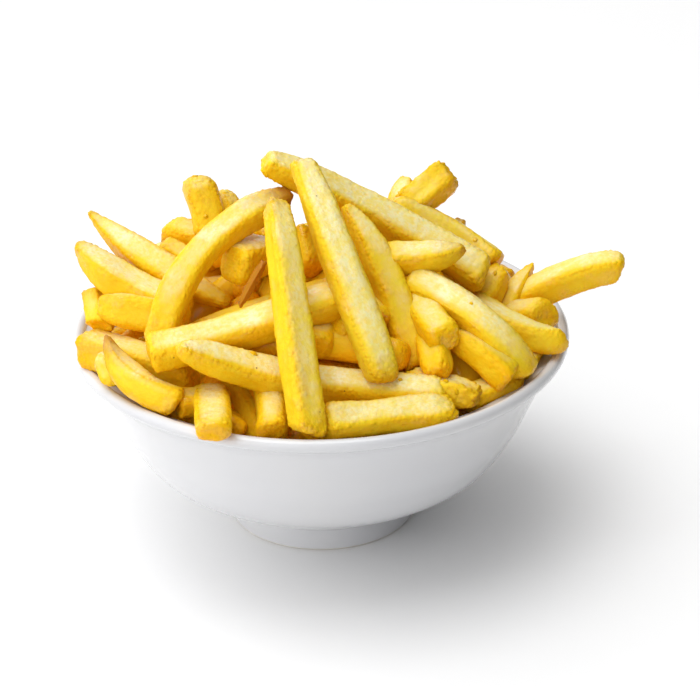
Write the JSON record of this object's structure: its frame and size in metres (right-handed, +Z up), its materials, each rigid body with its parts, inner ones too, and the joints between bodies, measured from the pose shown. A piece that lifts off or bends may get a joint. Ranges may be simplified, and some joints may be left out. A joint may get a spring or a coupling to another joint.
{
  "type": "french fries portion",
  "caption": "Thick-cut French fries heaped well above the rim of a white glazed footed bowl, a few hanging over its edge.",
  "frame": {"origin": "on the table under the middle of the serving's footprint, overhanging fries included; the bowl's own axis stands 8.7 mm to the left (-X) of it and 0.9 mm behind (+Y) it", "axes": "+Z up, +X to the serving's right, where one fry sticks out far over the rim, +Y to its back"},
  "size_m": [0.1774, 0.1618, 0.1288],
  "materials": {
    "porcelain": "gloss",
    "fried_potato": "satin"
  },
  "bodies": {
    "root": {"bowl": "porcelain", "heap": "fried_potato"}
  },
  "joints": []
}
